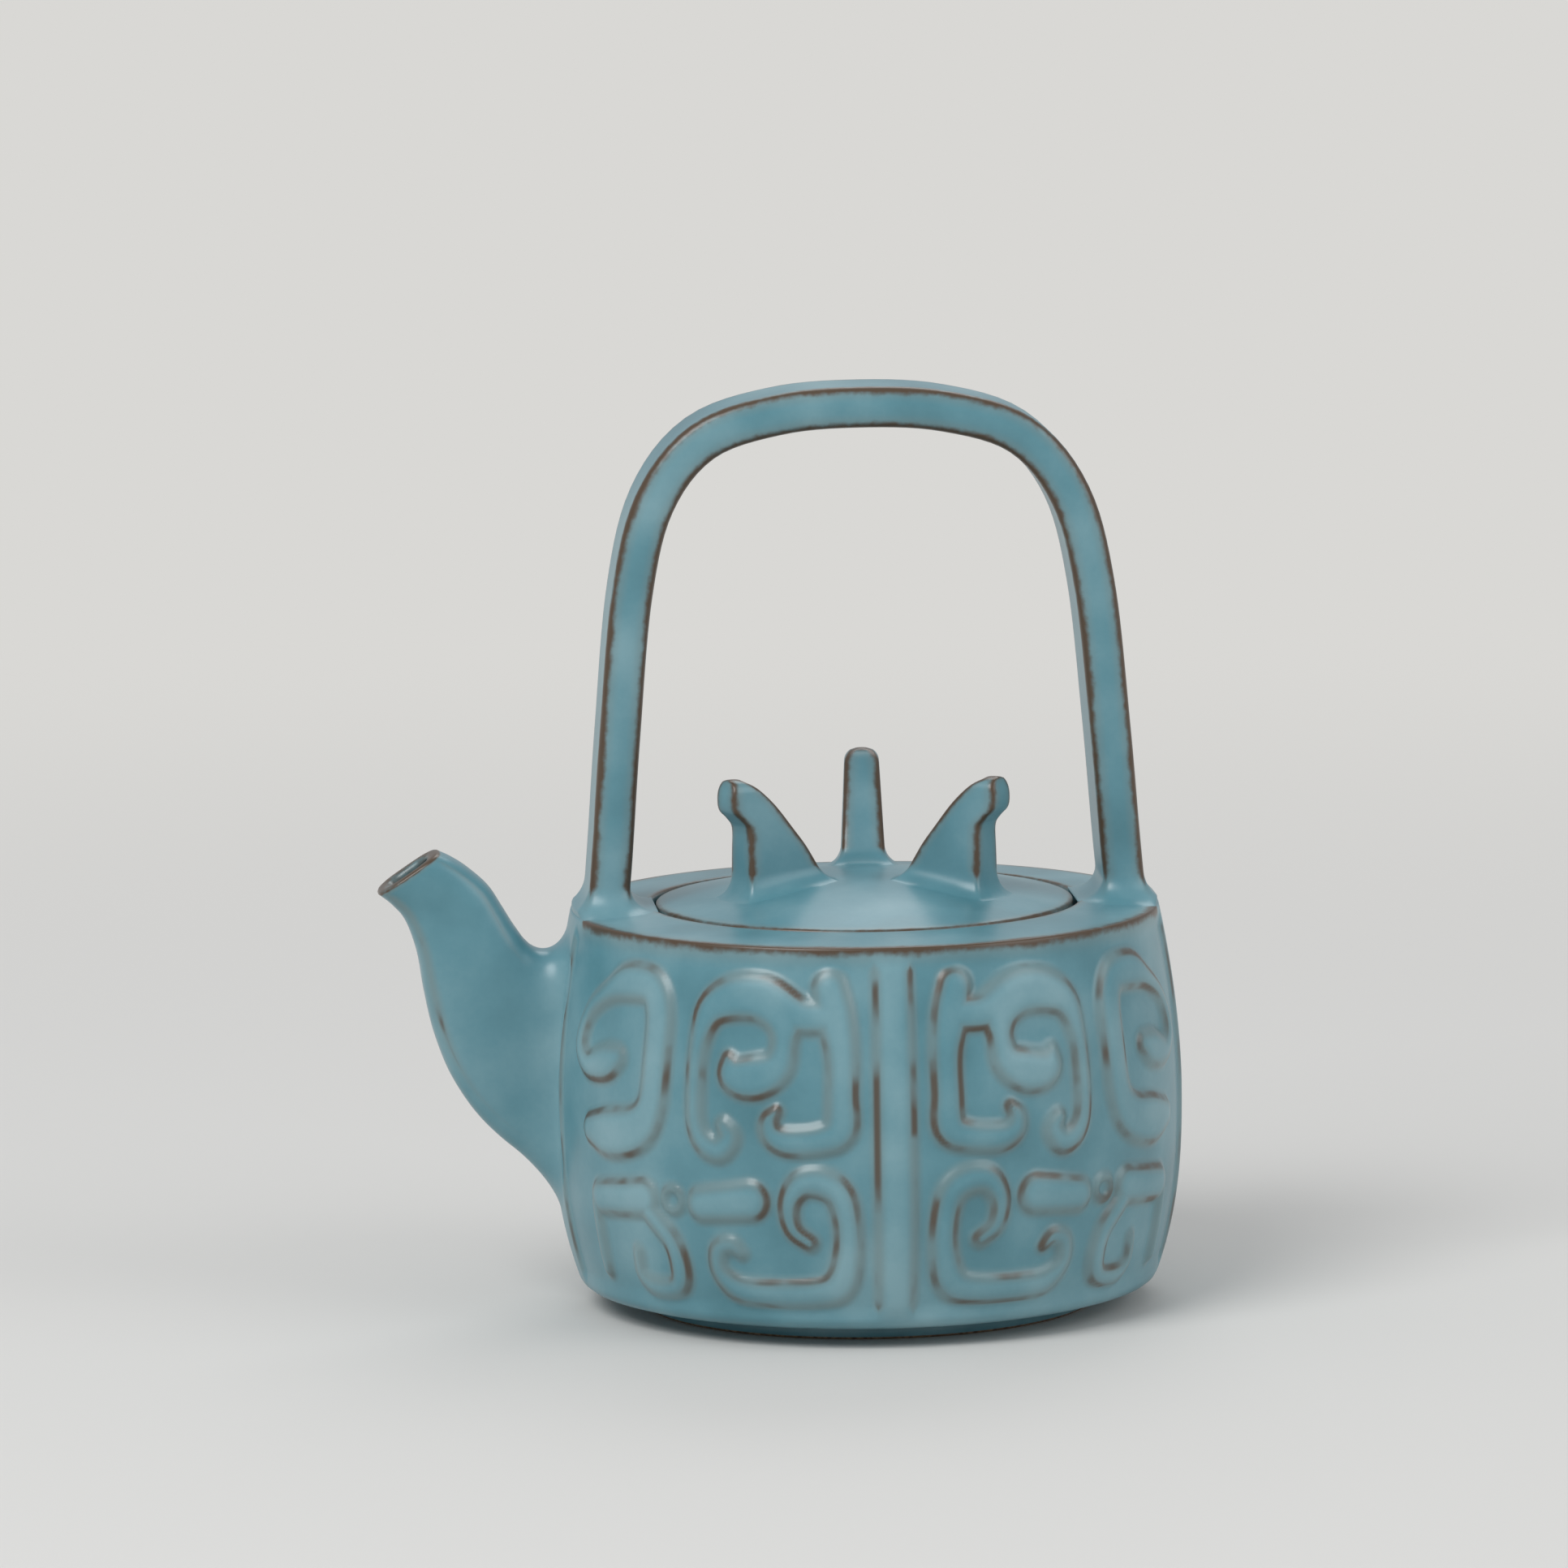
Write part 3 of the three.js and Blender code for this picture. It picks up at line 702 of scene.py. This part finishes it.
def makeSpout():
    stations = smoothLine(spoutStations, spout["stepsBetween"])
    rings, normals = zip(*(spoutRing(station, 0) for station in stations))
    rings, normals = np.array(rings), np.array(normals)
    outside = np.hypot(rings[..., 0], rings[..., 1]) - drumRadius(rings[..., 2])
    part = np.linspace(0, 1, len(stations))
    lifts = np.concatenate([[0], filletHeights(spout["fillet"], 16)])
    rest = np.arange(1, spout["rows"] + 1) / spout["rows"]
    columns, partRows = spout["columns"], np.zeros((len(lifts) + len(rest), spout["columns"]))
    surface = np.zeros(partRows.shape + (3,))
    direction = np.zeros(surface.shape)
    for j in range(columns):
        climbing = np.maximum.accumulate(outside[:, j] + np.arange(len(part)) * 1e-6)
        low = np.interp(lifts, climbing, part)
        partRows[:, j] = np.concatenate([low, low[-1] + (1 - low[-1]) * rest])
        for k in range(3):
            surface[:, j, k] = np.interp(partRows[:, j], part, rings[:, j, k])
            direction[:, j, k] = np.interp(partRows[:, j], part, normals[:, j, k])
    turn = np.arange(columns) * 2 * math.pi / columns
    share = (1 - (1 - spout["flankShare"]) * np.sin(turn) ** 2)[:, None]
    for row, lift in enumerate(lifts):  # the fillet: out along the wall, at its height over the wall
        ring, push = surface[row], direction[row]
        away = ring * [1, 1, 0] / np.hypot(ring[:, 0], ring[:, 1])[:, None]
        push = push - away * (push * away).sum(axis=1)[:, None]
        push = push / np.maximum(np.linalg.norm(push, axis=1)[:, None], 1e-6)
        ring = ring + push * share * float(filletReach(lift, spout["fillet"]))
        ring[:, 2] = np.minimum(ring[:, 2], drum["rimHeight"] - 1.2 + lift * 0.6)
        radial = drumRadius(ring[:, 2]) + lift - (spout["sink"] if row == 0 else runOut)
        ring[:, :2] *= (radial / np.hypot(ring[:, 0], ring[:, 1]))[:, None]
        surface[row] = ring
    # corner lines: brown iron on the lower corners; on the upper ones a fainter brownish line of painted shade
    towardsCorner = np.abs(np.abs(np.cos(turn)) - math.sqrt(0.5))
    sideTerm = np.where(np.cos(turn) < 0, 0.1, 0.9)
    rows, edgeRows, bandRows = [], [], []
    for row in range(len(surface)):
        rows.append(surface[row])
        at = partRows[row]
        edgeRows.append((1 - at) * spout["length"] + 0.1)
        fading = 5 * np.maximum(0, 0.5 - at) + 14 * np.maximum(0, at - 0.93)
        bandRows.append(towardsCorner * 8 + sideTerm + fading)
    mouth = stations[-1]
    lowX, lowZ, highX, highZ, half = mouth
    outward = np.array([-(highZ - lowZ), 0, highX - lowX]) / math.hypot(highX - lowX, highZ - lowZ)
    for inset, lift in ((0.35, 0.45), (1.1, 0.75), (2.1, 0.55), (2.8, 0.0)):
        rows.append(spoutRing(mouth, inset)[0] + outward * (lift * 0.6))
        edgeRows.append(np.full(spout["columns"], abs(inset - 1.1) * 0.5))
        bandRows.append(np.full(spout["columns"], farFromEdge))
    for back in range(1, spout["boreRows"]):
        station = stations[-1 - back * (len(stations) - 8) // spout["boreRows"]]
        rows.append(spoutRing(station, spout["wall"])[0])
        edgeRows.append(np.full(spout["columns"], 0.5 + back * 0.12))  # brown well inside the mouth: painted shade in the hollow bore
        bandRows.append(np.full(spout["columns"], farFromEdge))
    addPiece("pouring_spout", np.vstack(rows), gridFaces(len(rows), spout["columns"], True), "pot", ["spout"],
             edgeDist=np.concatenate(edgeRows), bandDist=np.concatenate(bandRows))


makeSpout()
print("spout made")

# plain pale floor, soft studio light

studio = {
    "floor": "#D9D8D5", "floorSize": 60, "plainFrom": 0.3, "plainTo": 1.1,  # metres from the ewer
    "world": "#E9EBEE", "worldStrength": 0.55,
    "lamps": {
        "key": {"place": (-1.3, -1.5, 2.0), "size": 1.6, "power": 42},
        "fill": {"place": (1.9, -1.1, 1.2), "size": 1.8, "power": 13},
        "back": {"place": (0.4, 1.7, 1.9), "size": 1.4, "power": 9},
    },
}


def makeStudio():
    material, tree = startMaterial("matt paper backdrop")
    place = addNode(tree, "ShaderNodeTexCoord").outputs["Object"]
    fibre = addNode(tree, "ShaderNodeTexNoise", {}, {"Scale": scaleFor(3), "Detail": 3}, {"Vector": place})
    bump = addNode(tree, "ShaderNodeBump", {}, {"Strength": 0.02, "Distance": 0.1 * mm},
                   {"Height": fibre.outputs["Fac"]})
    shader = addNode(tree, "ShaderNodeBsdfPrincipled", {}, {"Base Color": linear(studio["floor"]),
                     "Roughness": 0.9}, {"Normal": bump.outputs["Normal"]})
    rays = addNode(tree, "ShaderNodeLightPath")
    seen = addNode(tree, "ShaderNodeMath", {"operation": "MAXIMUM"}, {},
                   {0: rays.outputs["Is Camera Ray"], 1: rays.outputs["Is Glossy Ray"]}).outputs[0]
    seen = addNode(tree, "ShaderNodeMath", {"operation": "MAXIMUM"}, {},
                   {0: seen, 1: rays.outputs["Is Transmission Ray"]}).outputs[0]
    distance = addNode(tree, "ShaderNodeVectorMath", {"operation": "LENGTH"}, {}, {0: place}).outputs["Value"]
    far = addNode(tree, "ShaderNodeMapRange", {"interpolation_type": "SMOOTHSTEP"},
                  {"From Min": studio["plainFrom"], "From Max": studio["plainTo"]},
                  {"Value": distance}).outputs["Result"]
    amount = addNode(tree, "ShaderNodeMath", {"operation": "MULTIPLY"}, {}, {0: seen, 1: far}).outputs[0]
    plain = addNode(tree, "ShaderNodeEmission", {}, {"Color": linear(studio["floor"]), "Strength": 1})
    mixed = addNode(tree, "ShaderNodeMixShader", {}, {}, {0: amount, 1: shader.outputs["BSDF"],
                    2: plain.outputs["Emission"]})
    addNode(tree, "ShaderNodeOutputMaterial", {}, {}, {"Surface": mixed.outputs["Shader"]})
    reach = studio["floorSize"] / 2
    mesh = bpy.data.meshes.new("floor")
    mesh.from_pydata([(-reach, -reach, 0), (reach, -reach, 0), (reach, reach, 0), (-reach, reach, 0)], [],
                     [(0, 1, 2, 3)])
    mesh.materials.append(material)
    floor = bpy.data.objects.new("floor", mesh)
    bpy.context.collection.objects.link(floor)
    for name, lamp in studio["lamps"].items():
        data = bpy.data.lights.new(name, "AREA")
        data.shape = "DISK"
        data.size = lamp["size"]
        data.energy = lamp["power"]
        light = bpy.data.objects.new(name, data)
        bpy.context.collection.objects.link(light)
        light.location = lamp["place"]
        aim = Vector((axisX, 0, 0.08)) - light.location
        light.rotation_euler = aim.to_track_quat("-Z", "Y").to_euler()
    world = bpy.data.worlds.new("studio")
    bpy.context.scene.world = world
    world.use_nodes = True
    background = world.node_tree.nodes["Background"]
    background.inputs["Color"].default_value = linear(studio["world"])
    background.inputs["Strength"].default_value = studio["worldStrength"]
    bpy.context.scene.view_settings.view_transform = "Standard"


makeStudio()
print("studio made")
